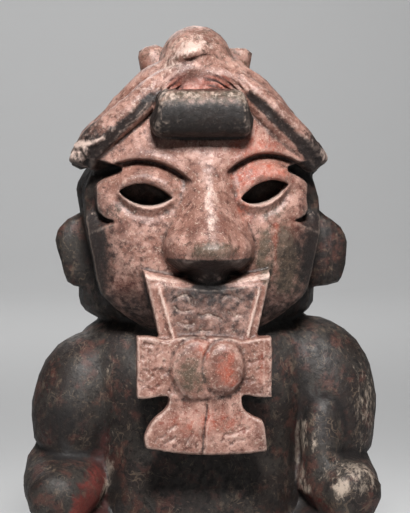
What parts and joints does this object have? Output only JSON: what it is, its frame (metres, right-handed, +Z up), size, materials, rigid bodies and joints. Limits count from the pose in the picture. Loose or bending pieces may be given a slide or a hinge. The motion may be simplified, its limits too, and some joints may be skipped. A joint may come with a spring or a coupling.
{
  "type": "reliquary figure",
  "caption": "Seated hollow clay figure with a carved mask, slit eyes, nose and mouth ornaments, a rolled headdress and folded legs on a low base.",
  "frame": {"origin": "middle of the underside of the base, on the surface it stands on", "axes": "+Z up, the figure faces -Y, +X towards the viewer's right as the face is looked at"},
  "size_m": [0.26, 0.208, 0.383],
  "materials": {
    "fired_clay": "burnished dark red-brown clay, worn, with grey and black stains, root marks and traces of red pigment"
  },
  "bodies": {
    "root": {"figure": "fired_clay"}
  },
  "joints": []
}
